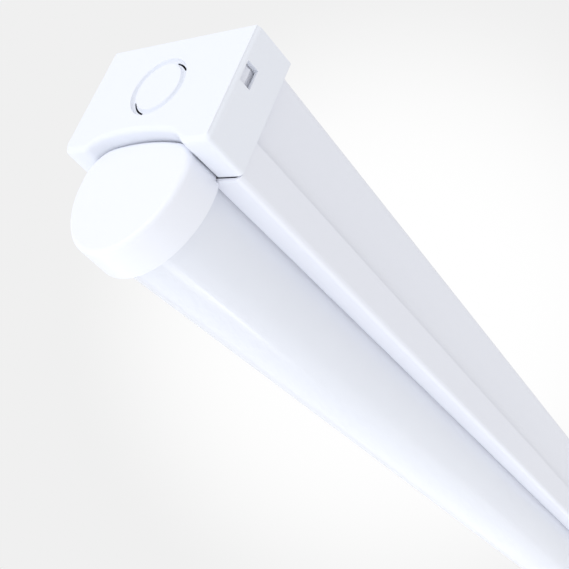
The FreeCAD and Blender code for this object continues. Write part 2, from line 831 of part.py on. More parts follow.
def lead(points):
    """Insulated wire with flat sides, along straight runs joined by tangent arcs."""
    corners = [V(*point) for point in points]
    across = (corners[1] - corners[0]).cross(V(0, 0, 1)).normalize()
    section = flat_sided(corners[0], corners[1] - corners[0], across, lead_radius, lead_flat_count)
    pieces = []
    for before, corner, after in zip(corners, corners[1:], corners[2:]):
        arriving = (corner - before).normalize()
        leaving = (after - corner).normalize()
        turn = arriving.getAngle(leaving)
        cut = lead_bend * math.tan(turn / 2.0)
        begin = corner - arriving * cut
        inwards = (leaving - arriving).normalize()
        centre = corner + inwards * (lead_bend / math.cos(turn / 2.0))
        run = begin - section.CenterOfMass
        pieces.append(section.extrude(run))
        section.translate(run)
        axis = arriving.cross(leaving)
        pieces.append(section.revolve(centre, axis, math.degrees(turn)))
        section.rotate(centre, axis, math.degrees(turn))
    pieces.append(section.extrude(corners[-1] - section.CenterOfMass))
    return pieces[0].fuse(pieces[1:]).removeSplitter() if len(pieces) > 1 else pieces[0]


def mains_lead(pole):
    """Lead from the terminal block straight to the driver's input, through the saddles."""
    y = pole_places()[pole]
    z = floor_top + wire_entry_height
    inside = wire_entry_depth / 2.0
    return lead([(terminal_end - inside, y, z), (driver_start + inside, y, z)])


def earth_lead():
    """Lead from the terminal block down to the flat lug under the earth screw."""
    y = pole_places()["earth"]
    z = floor_top + wire_entry_height
    half = screw_head_radius
    lug_end = earth_screw_place + half
    crimp = lug_end - lug_length + lug_crimp
    low = floor_top + lead_radius
    wire = lead([
        (terminal_end - wire_entry_depth / 2.0, y, z),
        (terminal_end + wire_entry_depth / 2.0, y, z),
        (crimp - lug_crimp - lug_rise, earth_screw_offset, low),
        (crimp, earth_screw_offset, low)])
    lug = box(lug_end - lug_length, lug_end, earth_screw_offset - half, earth_screw_offset + half,
              floor_top, floor_top + lug_thickness)
    return wire.fuse(lug.cut(screw_hole(earth_screw_place, earth_screw_offset))).removeSplitter()


def output_lead(index):
    """Lead from the driver's output, down through the bush, to the socket on the board."""
    y, driver_z = driver_outputs()[index]
    _, socket_z = socket_holes()[index]
    return lead([
        (driver_end - wire_entry_depth / 2.0, y, driver_z),
        (bush_place, y, driver_z),
        (bush_place, y, socket_z),
        (board_end - wire_entry_depth / 4.0, y, socket_z)])


def bush_block(half, z0, z1):
    """Square block about the bush's place."""
    return box(bush_place - half, bush_place + half, bush_offset - half, bush_offset + half, z0, z1)


def lead_bush():
    """Rubber bush that guards the hole where the output leads pass the tray."""
    body = bush_block(bush_half, floor_under, floor_top)
    lips = [bush_block(bush_half + bush_lip, z, z + bush_lip) for z in (floor_under - bush_lip, floor_top)]
    along = lead_radius + seat_gap / 2.0
    across = along + lead_radius + seat_gap / 2.0
    bore = box(bush_place - along, bush_place + along, bush_offset - across, bush_offset + across,
               floor_under - bush_lip - past, floor_top + bush_lip + past)
    return body.fuse(lips).cut(bore).removeSplitter()


def lead_saddle(x, y):
    """Nylon saddle with a square tunnel for one lead and a slot above it to press the lead in."""
    middle = floor_top + wire_entry_height
    tunnel = lead_radius + seat_gap
    end = x + saddle_length
    top = middle + 2.0 * tunnel
    outer = box(x, end, y - 2.0 * tunnel, y + 2.0 * tunnel, floor_top, top)
    inner = box(x - past, end + past, y - tunnel, y + tunnel, middle - tunnel, middle + tunnel)
    slot = box(x - past, end + past, y - tunnel / 2.0, y + tunnel / 2.0, middle, top + past)
    return outer.cut([inner, slot])


def lead_saddles():
    run = driver_start - terminal_end
    places = [terminal_end + share * run for share in saddle_shares]
    return Part.makeCompound([lead_saddle(x, y) for x in places for y, _ in driver_inputs()])


def tray_clip(x):
    """Spring steel clip on the tray whose arms press on the inside of the spine's walls."""
    half = clip_sheet / 2.0
    base = floor_top + half
    bead = spine_half - spine_sheet - moving_gap / 4.0 - half
    root = channel_mouth_half - clip_root_inset
    path = [(bead - clip_tip_inset, -clip_tip_drop), (bead, -clip_bead_drop),
            (root + clip_root_lean, base + clip_root_rise), (root, base)]
    path += [(-y, z) for y, z in reversed(path)]
    strip = folded_strip(path, clip_sheet, [clip_fold_radius] * (len(path) - 2))
    body = along_x(strip, x - clip_length / 2.0, clip_length)
    x0 = x - clip_foot_length / 2.0
    x1 = x + clip_foot_length / 2.0
    inner = clip_foot_offset
    low = floor_under - clip_sheet
    feet = []
    for side in (1, -1):
        feet.append(block_beside(x0, x1, inner, inner + clip_sheet, low, base, side))
        feet.append(block_beside(x0, x1, inner, inner + clip_hook, low, floor_under, side))
    return body.fuse(feet).removeSplitter()


# ---------------------------------------------------------------- write every piece

def build():
    """Every node of the light, by name."""
    near_cap = end_cap()
    near_lamp_cap = diffuser_cap()
    far_board = led_board()
    far_emitters = led_emitters()
    poles = pole_places()
    return {
        "spine": spine(),
        "end_cap_near": near_cap,
        "end_cap_far": far_end(near_cap),
        "gear_tray": gear_tray(),
        "tray_clip_near": tray_clip(-clip_place),
        "tray_clip_far": tray_clip(clip_place),
        "diffuser": diffuser(),
        "diffuser_cap_near": near_lamp_cap,
        "diffuser_cap_far": far_end(near_lamp_cap),
        "diffuser_cap_screws": diffuser_cap_screws(),
        "led_board_near": far_end(far_board),
        "led_board_far": far_board,
        "led_emitters_near": far_end(far_emitters),
        "led_emitters_far": far_emitters,
        "board_link": board_link(),
        "board_socket": board_socket(),
        "driver_case": driver_case(),
        "driver_cover": driver_cover(),
        "driver_screws": driver_screws(),
        "terminal_block": terminal_block(),
        "terminal_button_live": terminal_button(poles["live"]),
        "terminal_button_neutral": terminal_button(poles["neutral"]),
        "terminal_button_earth": terminal_button(poles["earth"]),
        "live_lead": mains_lead("live"),
        "neutral_lead": mains_lead("neutral"),
        "earth_lead": earth_lead(),
        "earth_screw": earth_screw(),
        "output_lead_positive": output_lead(1),
        "output_lead_negative": output_lead(0),
        "lead_bush": lead_bush(),
        "lead_saddles": lead_saddles(),
    }


os.makedirs("parts", exist_ok=True)
for name, shape in build().items():
    shape.exportStep(os.path.join("parts", name + ".step"))
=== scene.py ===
import json
import math

import bmesh
import bpy
from mathutils import Matrix, Vector

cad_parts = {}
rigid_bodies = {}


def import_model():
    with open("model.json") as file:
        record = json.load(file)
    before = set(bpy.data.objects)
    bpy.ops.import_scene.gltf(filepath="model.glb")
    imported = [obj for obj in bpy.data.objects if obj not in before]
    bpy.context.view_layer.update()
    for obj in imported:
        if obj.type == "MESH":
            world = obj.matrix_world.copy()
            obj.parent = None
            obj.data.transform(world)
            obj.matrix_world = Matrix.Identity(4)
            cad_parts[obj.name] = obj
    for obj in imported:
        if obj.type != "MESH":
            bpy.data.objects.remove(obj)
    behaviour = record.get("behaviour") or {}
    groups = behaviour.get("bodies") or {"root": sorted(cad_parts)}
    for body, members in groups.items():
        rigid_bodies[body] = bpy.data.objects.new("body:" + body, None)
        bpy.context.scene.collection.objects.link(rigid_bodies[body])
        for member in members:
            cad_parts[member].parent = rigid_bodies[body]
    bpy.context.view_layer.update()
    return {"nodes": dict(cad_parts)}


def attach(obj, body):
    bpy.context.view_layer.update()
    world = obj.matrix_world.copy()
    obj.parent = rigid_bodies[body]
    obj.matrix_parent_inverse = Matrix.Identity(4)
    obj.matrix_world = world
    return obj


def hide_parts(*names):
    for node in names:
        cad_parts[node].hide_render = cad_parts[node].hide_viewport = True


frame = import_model()
bpy.ops.object.select_all(action="DESELECT")

# ------------------------------------------------------------------ the view
# The light hangs from a ceiling and is seen from below its near end, with the camera rolled a
# little, so that the long body runs away to the lower right.
camera_data = bpy.data.cameras.new("view_from_below")
camera_data.lens = 50.39
camera_data.sensor_width = 36.0
camera_place = (-0.72293, -0.19036, -0.14868)
camera = bpy.data.objects.new("view_from_below", camera_data)
bpy.context.scene.collection.objects.link(camera)
looks_along = Vector((0.6959, 0.6245, 0.3545)).normalized()
rolled_up = Vector((-0.487, 0.048, 0.872))
picture_right = looks_along.cross(rolled_up).normalized()
picture_up = picture_right.cross(looks_along)
turn = Matrix((picture_right, picture_up, -looks_along)).transposed().to_4x4()
camera.matrix_world = Matrix.Translation(camera_place) @ turn
bpy.context.scene.camera = camera

# ------------------------------------------------------------------ studio
# A plain pale room: even grey light from all round, with a soft white glow behind the light, as
# a lit paper backdrop gives, and a pale floor some way below.


def from_hex(code):
    """Turns an sRGB hex colour to linear, with alpha 1."""
    parts = [int(code[i:i + 2], 16) / 255.0 for i in (0, 2, 4)]
    linear = [c / 12.92 if c <= 0.04045 else ((c + 0.055) / 1.055) ** 2.4 for c in parts]
    return (*linear, 1.0)


def add_node(tree, kind, settings=(), links=()):
    """Adds a node with its settings, by property or socket name, and the links into it."""
    node = tree.nodes.new(kind)
    for name, value in dict(settings).items():
        if isinstance(name, str) and hasattr(node, name):
            setattr(node, name, value)
        else:
            node.inputs[name].default_value = value
    for name, source in dict(links).items():
        tree.links.new(source, node.inputs[name])
    return node


def two_tones(tree, pattern, dark, light):
    """Ramps a pattern from one colour to another."""
    ramp = add_node(tree, "ShaderNodeValToRGB", links={"Fac": pattern})
    ramp.color_ramp.elements[0].color = dark
    ramp.color_ramp.elements[1].color = light
    return ramp


world = bpy.data.worlds.new("studio")
world.use_nodes = True
bpy.context.scene.world = world
bpy.context.scene.view_settings.view_transform = "Standard"
tree = world.node_tree
tree.nodes.clear()
where = add_node(tree, "ShaderNodeTexCoord")
glow_centre = (looks_along + picture_right * 0.132 - picture_up * 0.032).normalized()
towards = add_node(tree, "ShaderNodeVectorMath",
                   {"operation": "DOT_PRODUCT", 1: tuple(glow_centre)},
                   {0: where.outputs["Generated"]})
glow = two_tones(tree, towards.outputs["Value"], from_hex("f0f0f0"), from_hex("ffffff"))
glow.color_ramp.interpolation = "EASE"
glow.color_ramp.elements[0].position = 0.918
glow.color_ramp.elements[1].position = 0.992
paper = add_node(tree, "ShaderNodeBackground", {"Strength": 1.0}, {"Color": glow.outputs["Color"]})
add_node(tree, "ShaderNodeOutputWorld", links={"Surface": paper.outputs["Background"]})


def soft_box(name, place, aim, size, power, colour="ffffff"):
    """A soft light at the place, turned to the aim, its size given along X and across."""
    data = bpy.data.lights.new(name, "AREA")
    data.shape = "RECTANGLE"
    data.size, data.size_y = size
    data.energy = power
    data.color = from_hex(colour)[:3]
    lamp = bpy.data.objects.new(name, data)
    bpy.context.scene.collection.objects.link(lamp)
    facing = (Vector(aim) - Vector(place)).to_track_quat("-Z", "Y").to_matrix().to_4x4()
    lamp.matrix_world = Matrix.Translation(place) @ facing
    lamp.visible_camera = False


# The key lights the near end's faces, and the wide fill the underside. The two narrow strips
# give the thin bright line along the diffuser and its cap.
soft_box("key_front", (-2.6, 0.5, -0.2), (-0.55, 0.0, -0.04), (1.6, 1.6), 10.5, "f4f8ff")
soft_box("fill_below", (0.0, 0.1, -0.40), (0.0, 0.1, 0.0), (2.6, 1.0), 3.9, "f2f7ff")
soft_box("strip_below", (-0.255, -0.088, -0.39), (-0.255, -0.088, 0.0), (0.13, 0.022), 0.085)
soft_box("strip_near", (-0.325, -0.046, -0.39), (-0.325, -0.046, 0.0), (0.05, 0.022), 0.03)

floor_height = -0.42
bpy.ops.mesh.primitive_circle_add(vertices=96, radius=1.5, fill_type="NGON",
                                 location=(0.0, 0.0, floor_height))
floor = bpy.context.object
floor.name = "floor"
bpy.ops.object.transform_apply(location=True, rotation=True, scale=True)
paint = bpy.data.materials.new("pale_floor_paint")
paint.use_nodes = True
shader = paint.node_tree.nodes["Principled BSDF"]
shader.inputs["Roughness"].default_value = 0.8
spots = add_node(paint.node_tree, "ShaderNodeTexNoise", {"Scale": 3.0, "Detail": 2.0})
shade = two_tones(paint.node_tree, spots.outputs["Fac"], from_hex("e6e6e5"), from_hex("ececeb"))
paint.node_tree.links.new(shade.outputs["Color"], shader.inputs["Base Color"])
floor.data.materials.append(paint)

# ------------------------------------------------------------------ body end caps
# Moulded white ABS caps that close the spine's two ends: a box with a wide arch below for the
# lamp, a ring knock-out for a cable gland in the face and a snap window in each side. The front
# edges are rounded, and the mouth of the arch more so.


MM = 0.001


def new_finish(name, ior):
    """A new material, with its node tree, its shader and where its points are on the object."""
    material = bpy.data.materials.new(name)
    material.use_nodes = True
    tree = material.node_tree
    shader = tree.nodes["Principled BSDF"]
    shader.inputs["IOR"].default_value = ior
    place = add_node(tree, "ShaderNodeTexCoord")
    return material, tree, shader, place.outputs["Object"]


def speckle(tree, place, size_mm, detail):
    """A cloudy pattern with spots of about the size in millimetres."""
    spots = add_node(tree, "ShaderNodeTexNoise", {"Scale": 1.0 / (size_mm * MM), "Detail": detail},
                     {"Vector": place})
    return spots.outputs["Fac"]


def colour_by(tree, shader, pattern, dark, light):
    """Colours the surface between two tones by a pattern."""
    ramp = two_tones(tree, pattern, dark, light)
    tree.links.new(ramp.outputs["Color"], shader.inputs["Base Color"])


def shine_by(tree, shader, pattern, low, high):
    """Varies the roughness between two values by a pattern."""
    between = add_node(tree, "ShaderNodeMapRange", {"To Min": low, "To Max": high},
                       {"Value": pattern})
    tree.links.new(between.outputs["Result"], shader.inputs["Roughness"])


def raise_by(tree, shader, pattern, strength, height_mm):
    """Raises the surface a little by a pattern."""
    bump = add_node(tree, "ShaderNodeBump", {"Strength": strength, "Distance": height_mm * MM},
                    {"Height": pattern})
    tree.links.new(bump.outputs["Normal"], shader.inputs["Normal"])


def shades_of(code, depth):
    """A colour's darker shade and the colour itself."""
    base = Vector(from_hex(code)[:3])
    return (*(base * depth), 1.0), (*base, 1.0)


def moulded_plastic(name, colour, roughness, grain_mm=0.6):
    """Satin moulded plastic: the fine texture of a spark-eroded tool and faint flow shading."""
    material, tree, shader, place = new_finish(name, 1.52)
    flow = speckle(tree, place, 40.0, 2.0)
    colour_by(tree, shader, flow, *shades_of(colour, 0.985))
    grain = speckle(tree, place, grain_mm, 3.0)
    shine_by(tree, shader, grain, roughness - 0.04, roughness + 0.04)
    raise_by(tree, shader, grain, 0.12, 0.03)
    return material


def put_down():
    """Leaves edit mode, with nothing selected."""
    active = bpy.context.view_layer.objects.active
    if active and active.mode == "EDIT":
        bpy.ops.object.mode_set(mode="OBJECT")
    bpy.ops.object.select_all(action="DESELECT")


def block(x0, x1, y0, y1, z0, z1):
    """Adds a block between two opposite corners, in millimetres, with its place in its mesh."""
    middle = Vector(((x0 + x1) / 2.0, (y0 + y1) / 2.0, (z0 + z1) / 2.0)) * MM
    put_down()
    bpy.ops.mesh.primitive_cube_add(size=1.0, location=middle,
                                    scale=((x1 - x0) * MM, (y1 - y0) * MM, (z1 - z0) * MM))
    bpy.ops.object.transform_apply(location=True, rotation=True, scale=True)
    return bpy.context.object


def pick(piece, kind, test):
    """Selects, in edit mode, the piece's vertices, edges or faces whose middle, in millimetres,
    passes the test."""
    if piece.mode != "EDIT":
        put_down()
        piece.select_set(True)
        bpy.context.view_layer.objects.active = piece
        bpy.ops.object.mode_set(mode="EDIT")
    bpy.ops.mesh.select_mode(type=kind)
    bpy.ops.mesh.select_all(action="DESELECT")
    form = bmesh.from_edit_mesh(piece.data)
    for item in {"VERT": form.verts, "EDGE": form.edges, "FACE": form.faces}[kind]:
        points = [item.co] if kind == "VERT" else [v.co for v in item.verts]
        middle = sum(points, Vector()) / len(points) / MM
        if kind == "EDGE":
            chosen = test(middle, (points[1] - points[0]).normalized())
        elif kind == "FACE":
            chosen = test(middle, item.normal)
        else:
            chosen = test(middle)
        item.select_set(bool(chosen))
    form.select_flush_mode()
    bmesh.update_edit_mesh(piece.data)


def cut(piece, *cutters):
    """Cuts the cutters' forms out of the piece and takes the cutters away."""
    put_down()
    for cutter in cutters:
        bpy.context.view_layer.objects.active = piece
        step = piece.modifiers.new("cut", "BOOLEAN")
        step.object = cutter
        step.operation = "DIFFERENCE"
        step.solver = "EXACT"
        bpy.ops.object.modifier_apply(modifier=step.name)
        bpy.data.objects.remove(cutter)
    return piece


def start_outline(x, y, z):
    """Begins a drawn outline: a small plane merged to the one point that it starts from."""
    bpy.ops.mesh.primitive_plane_add(size=MM, location=(x * MM, y * MM, z * MM))
    if bpy.context.object.mode != "EDIT":
        bpy.ops.object.transform_apply(location=True, rotation=True, scale=True)
        bpy.ops.object.mode_set(mode="EDIT")
        bpy.ops.mesh.select_all(action="SELECT")
    bpy.ops.mesh.select_mode(type="VERT")
    bpy.ops.mesh.merge(type="CENTER")


def draw_line(dy, dz):
    """Draws the outline on by a straight run."""
    bpy.ops.mesh.extrude_region_move(TRANSFORM_OT_translate={"value": (0, dy * MM, dz * MM)})


def draw_arc(x, y, z, degrees, steps):
    """Draws the outline on round a centre, anticlockwise seen with +Y to the right."""
    bpy.ops.mesh.spin(steps=steps, angle=math.radians(degrees), center=(x * MM, y * MM, z * MM),
                      axis=(-1.0, 0.0, 0.0))


near_face = -600.0
cap_depth = 17.4
cap_half = 33.0
cap_foot = -41.9
arch_top = -36.0
arch_half = 23.8
arch_crown = 78.0
arch_shoulder = 11.5
arch_shoulder_y = arch_half - arch_shoulder
arch_reach = arch_crown - arch_shoulder
arch_lean = math.degrees(math.asin(arch_shoulder_y / arch_reach))
arch_shoulder_z = math.sqrt(arch_reach ** 2 - arch_shoulder_y ** 2) + arch_top - arch_crown


def draw_arch(x, offset):
    """Draws the arch from the -Y side over to the +Y side: shoulder, crown and shoulder arcs."""
    draw_arc(x, -arch_shoulder_y, arch_shoulder_z, arch_lean - 90.0, 12)
    draw_arc(x, 0.0, arch_top - arch_crown, -2.0 * arch_lean, 20)
    draw_arc(x, arch_shoulder_y, arch_shoulder_z, arch_lean - 90.0, 12)


def close_outline():
    """Joins the outline's end to its start and leaves the loop selected."""
    bpy.ops.mesh.select_linked()
    bpy.ops.mesh.remove_doubles(threshold=0.002 * MM)


def bridge_all():
    """Bridges the drawn outlines in order and closes the two ends."""
    bpy.ops.mesh.select_all(action="SELECT")
    bpy.ops.mesh.bridge_edge_loops()
    bpy.ops.mesh.select_mode(type="EDGE")
    bpy.ops.mesh.select_all(action="DESELECT")
    bpy.ops.mesh.select_non_manifold()
    bpy.ops.mesh.fill_holes(sides=0)
    bpy.ops.mesh.select_all(action="SELECT")
    bpy.ops.mesh.normals_make_consistent(inside=False)
    bpy.ops.object.mode_set(mode="OBJECT")
    return bpy.context.object


def arch_cutter(stations):
    """The space under the arch through a list of (depth, offset) stations, closed at its ends."""
    below = -70.0
    put_down()
    for depth, offset in stations:
        x = near_face + depth
        half = arch_half + offset
        start_outline(x, -half, below)
        draw_line(0.0, arch_shoulder_z - below)
        draw_arch(x, offset)
        draw_line(0.0, below - arch_shoulder_z)
        draw_line(-2.0 * half, 0.0)
        close_outline()
    return bridge_all()


def rounding(radius, steps):
    """Depth and inset of the steps along a rounded edge, from the face to the side."""
    turns = [math.radians(90.0 * step / steps) for step in range(steps, -1, -1)]
    return [(radius * (1.0 - math.sin(a)), radius * (1.0 - math.cos(a))) for a in turns]


def finish_piece(piece, name, body, nodes, material, soften=0.0):
    """Softens the sharp edges, evens the shading, and puts the piece on its body in place of the
    CAD nodes, which it hides."""
    put_down()
    piece.select_set(True)
    bpy.context.view_layer.objects.active = piece
    if soften:
        edge = piece.modifiers.new("edge", "BEVEL")
        edge.width = soften * MM
        edge.segments = 2
        edge.limit_method = "ANGLE"
        edge.angle_limit = math.radians(40.0)
        edge.use_clamp_overlap = True
        bpy.ops.object.modifier_apply(modifier=edge.name)
    bpy.ops.object.shade_smooth_by_angle(angle=math.radians(35.0))
    even = piece.modifiers.new("even", "WEIGHTED_NORMAL")
    even.keep_sharp = True
    even.weight = 90
    bpy.ops.object.modifier_apply(modifier=even.name)
    piece.name = name
    piece.data.name = name
    piece.data.materials.clear()
    piece.data.materials.append(material)
    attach(piece, body)
    if nodes:
        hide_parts(*nodes)
    return piece


def far_copy(piece):
    """A copy of a near-end piece at the far end, mirrored in its own mesh."""
    copy = piece.copy()
    copy.data = piece.data.copy()
    bpy.context.scene.collection.objects.link(copy)
    for vertex in copy.data.vertices:
        vertex.co.x = -vertex.co.x
    put_down()
    copy.select_set(True)
    bpy.context.view_layer.objects.active = copy
    bpy.ops.object.mode_set(mode="EDIT")
    bpy.ops.mesh.select_all(action="SELECT")
    bpy.ops.mesh.flip_normals()
    bpy.ops.object.mode_set(mode="OBJECT")
    return copy


cap_draft = 0.65
arch_draft = 1.3
edge_limit = 0.7
toe = 1.6
heel_front = 4.4
heel_back = 1.2


def draw_cap(depth, inset):
    """Draws the body cap's outline at a depth, its edge below set in by the inset. From the top it
    goes down the -Y side, round the foot and in over the arch, and out again to the +Y side."""
    x = near_face + depth
    share = depth / cap_depth
    half = cap_half + cap_draft * share - min(inset, edge_limit)
    low = cap_foot - cap_draft * share + inset
    heel = heel_front - (heel_front - heel_back) * share
    shoulder = arch_shoulder + growth * depth + inset
    fall = low + heel - arch_shoulder_z
    heel_y = arch_shoulder_y + math.sqrt((shoulder + heel) ** 2 - fall ** 2)
    meet = math.degrees(math.atan2(fall, heel_y - arch_shoulder_y))
    start_outline(x, -half, 0.0)
    draw_line(0.0, low + toe)
    draw_arc(x, toe - half, low + toe, 90.0, 8)
    draw_line(half - toe - heel_y, 0.0)
    draw_arc(x, -heel_y, low + heel, 90.0 - meet, 8)
    draw_arc(x, -arch_shoulder_y, arch_shoulder_z, arch_lean + meet - 90.0, 12)
    draw_arc(x, 0.0, arch_top - arch_crown, -2.0 * arch_lean, 20)
    draw_arc(x, arch_shoulder_y, arch_shoulder_z, arch_lean + meet - 90.0, 12)
    draw_arc(x, heel_y, low + heel, 90.0 - meet, 8)
    draw_line(half - toe - heel_y, 0.0)
    draw_arc(x, half - toe, low + toe, 90.0, 8)
    draw_line(0.0, -low - toe)
    draw_line(-2.0 * half, 0.0)
    close_outline()


growth = arch_draft / cap_depth
cap_wall = 1.8
put_down()
for depth, inset in rounding(1.9, 8):
    draw_cap(depth, inset)
draw_cap(cap_depth, 0.0)
cap = bridge_all()
cap_back = near_face + cap_depth
hollow_half = 31.3
hollow_foot = -40.1
arch_wall = 3.1
hollow = block(near_face + cap_wall, cap_back + 1.0, -hollow_half, hollow_half, hollow_foot,
               -cap_wall)
cut(hollow, arch_cutter([(0.0, arch_wall), (20.0, arch_wall)]))
cut(cap, hollow)


def draw_prism(length):
    """Closes the drawn outline, fills it and draws it out along X."""
    close_outline()
    bpy.ops.mesh.edge_face_add()
    bpy.ops.mesh.extrude_region_move(TRANSFORM_OT_translate={"value": (length * MM, 0, 0)})
    bpy.ops.mesh.select_all(action="SELECT")
    bpy.ops.mesh.normals_make_consistent(inside=False)
    bpy.ops.object.mode_set(mode="OBJECT")
    return bpy.context.object


# The knock-out: a shallow round-bottomed ring with two arcs of it slit right through.
ring_radius = 10.15
ring_height = -19.0
slit_inside = 9.8
slit_width = 0.65
ring_centre = Vector((near_face, 0.0, ring_height)) * MM
put_down()
bpy.ops.mesh.primitive_torus_add(major_radius=ring_radius * MM, minor_radius=1.15 * MM,
                                 major_segments=96, minor_segments=16, location=ring_centre,
                                 rotation=(0.0, math.pi / 2.0, 0.0))
bpy.ops.object.transform_apply(location=True, rotation=True, scale=True)
groove = bpy.context.object
pick(groove, "VERT", lambda p: True)
bpy.ops.transform.resize(value=(1.2, 1.0, 1.0), center_override=ring_centre)
cut(cap, groove)
for first, last in ((104.0, 141.0), (287.0, 334.0)):
    put_down()
    x = near_face - 1.0
    out = Vector((math.cos(math.radians(first)), math.sin(math.radians(first))))
    start_outline(x, out.x * slit_inside, out.y * slit_inside + ring_height)
    draw_arc(x, 0.0, ring_height, last - first, 20)
    leaves = Vector((math.cos(math.radians(last)), math.sin(math.radians(last))))
    draw_line(*(leaves * slit_width))
    draw_arc(x, 0.0, ring_height, first - last, 20)
    draw_line(*(-out * slit_width))
    cut(cap, draw_prism(4.0))

# The snap windows, and the shallow grooves that guide the spine's barbs to them.
window_front = near_face + 2.0
window_back = near_face + 6.9
window_foot, window_top = -19.2, -12.0
groove_foot, groove_top = -18.8, -12.4
inside, groove_floor, outside = 31.0, 32.1, 36.0
for side in (1.0, -1.0):
    low, high = sorted((side * inside, side * outside))
    cut(cap, block(window_front, window_back, low, high, window_foot, window_top))
    low, high = sorted((side * inside, side * groove_floor))
    cut(cap, block(window_front, cap_back + 1.0, low, high, groove_foot, groove_top))

white_moulding = moulded_plastic("white_moulded_abs", "eef1f9", 0.36)
for end, piece in (("near", cap), ("far", far_copy(cap))):
    node = "end_cap_" + end
    finish_piece(piece, node + "_moulding", node, [node], white_moulding, 0.12)

# ------------------------------------------------------------------ diffuser end caps
# Moulded white polycarbonate caps that sleeve over the diffuser's ends. They are oval below and
# follow the arch above, open out a little towards the diffuser, and have softly rounded faces. A
# tongue on each reaches over the tray's floor for its screw.


oval_middle = -50.5
lamp_cap_depth = 18.7
lamp_cap_set_back = 5.3


def draw_bowl(x, half_width, drop, bottom_radius):
    """Draws the oval's lower half from its +Y side under to its -Y side."""
    depth = drop - bottom_radius + oval_middle
    span = half_width ** 2 + depth ** 2 - bottom_radius ** 2
    side = span / (2.0 * (half_width - bottom_radius))
    turn = math.degrees(math.atan2(depth, side - half_width))
    draw_arc(x, half_width - side, oval_middle, -turn, 16)
    draw_arc(x, 0.0, bottom_radius - drop, 2.0 * turn - 180.0, 40)
    draw_arc(x, side - half_width, oval_middle, -turn, 16)


def lamp_cap_outline(depth, draft_depth, inset):
    """Draws the diffuser cap's outline at a depth, set in from its face by the inset."""
    x = near_face + depth
    grown = growth * draft_depth - 0.4 - inset
    half = arch_half + grown
    shrink = growth * (lamp_cap_depth - draft_depth) + inset
    start_outline(x, half, oval_middle)
    draw_bowl(x, half, 78.0 - shrink, 22.5 - shrink)
    draw_line(0.0, arch_shoulder_z - oval_middle)
    draw_arch(x, grown)
    draw_line(0.0, oval_middle - arch_shoulder_z)
    close_outline()


put_down()
for depth, inset in rounding(2.0, 8):
    lamp_cap_outline(lamp_cap_set_back + depth, lamp_cap_set_back + 2.0, inset)
lamp_cap_outline(lamp_cap_depth, lamp_cap_depth, 0.0)
lamp_cap = bridge_all()
# Behind the body cap it stays below the tray.
tray_clear = -44.1
cut(lamp_cap, block(cap_back, -578.0, -40.0, 40.0, tray_clear, 0.0))


def weld(piece, other):
    """Joins another closed form to the piece as one body."""
    step = piece.modifiers.new("weld", "BOOLEAN")
    step.object = other
    step.operation = "UNION"
    step.solver = "EXACT"
    bpy.context.view_layer.objects.active = piece
    bpy.ops.object.modifier_apply(modifier=step.name)
    bpy.data.objects.remove(other)
    return piece


diffuser_half = 21.2
diffuser_bottom = 74.0
diffuser_bottom_radius = 19.4
lip_height = -43.7
lip_rise = lip_height - oval_middle
bottom_fall = diffuser_bottom - diffuser_bottom_radius + oval_middle
diffuser_side = ((diffuser_half ** 2 + bottom_fall ** 2 - diffuser_bottom_radius ** 2)
                 / (2.0 * (diffuser_half - diffuser_bottom_radius)))


def lip_at(grow):
    """The angle and the Y of the diffuser's lip, where the oval is grown all round."""
    radius = diffuser_side + grow
    lean = math.asin(lip_rise / radius)
    return math.degrees(lean), diffuser_half - diffuser_side + radius * math.cos(lean)


def draw_oval(x, grow):
    """Draws the diffuser's oval, grown all round, from under its +Y lip to its -Y lip."""
    centre = diffuser_half - diffuser_side
    lean = lip_at(grow)[0]
    draw_arc(x, centre, oval_middle, -lean, 6)
    draw_bowl(x, diffuser_half + grow, diffuser_bottom + grow, diffuser_bottom_radius + grow)
    draw_arc(x, -centre, oval_middle, -lean, 6)


socket_start = -587.8
socket_gap = 0.2
socket_lip = lip_at(socket_gap)[1]
put_down()
start_outline(socket_start, socket_lip, lip_height)
draw_oval(socket_start, socket_gap)
draw_line(2.0 * socket_lip, 0.0)
cut(lamp_cap, draw_prism(8.0))
pocket_depth = 12.2
put_down()
lamp_cap_outline(pocket_depth, pocket_depth, 1.9)
pocket = draw_prism(6.2)
cut(lamp_cap, cut(pocket, block(-590.0, -570.0, -30.0, 30.0, -80.0, tray_clear)))
tongue_top = -36.7
tongue_sheet = 1.0
tongue_tip = -567.2
tongue_half = 4.0
tongue = block(-586.6, tongue_tip, -tongue_half, tongue_half, tongue_top - tongue_sheet, tongue_top)
pick(tongue, "EDGE", lambda p, d: p.x > tongue_tip - 0.8 and abs(d.z) > 0.9)
bpy.ops.mesh.bevel(offset=2.0 * MM, segments=6, affect="EDGES")
bpy.ops.object.mode_set(mode="OBJECT")


def hole(radius, x, y, z0, z1):
    """An upright round cutter in millimetres."""
    put_down()
    middle = Vector((x, y, (z0 + z1) / 2.0)) * MM
    bpy.ops.mesh.primitive_cylinder_add(vertices=32, radius=radius * MM, depth=(z1 - z0) * MM,
                                        location=middle)
    bpy.ops.object.transform_apply(location=True, rotation=True, scale=True)
    return bpy.context.object


tongue_screw_x = -574.7
screw_hole = 1.6
cut(tongue, hole(screw_hole, tongue_screw_x, 0.0, -39.0, -35.0))
weld(lamp_cap, tongue)
gloss_moulding = moulded_plastic("white_moulded_polycarbonate", "f1f3fb", 0.30)
for end, piece in (("near", lamp_cap), ("far", far_copy(lamp_cap))):
    node = "diffuser_cap_" + end
    finish_piece(piece, node + "_moulding", "lamp_module", [node], gloss_moulding,
                 0.12)

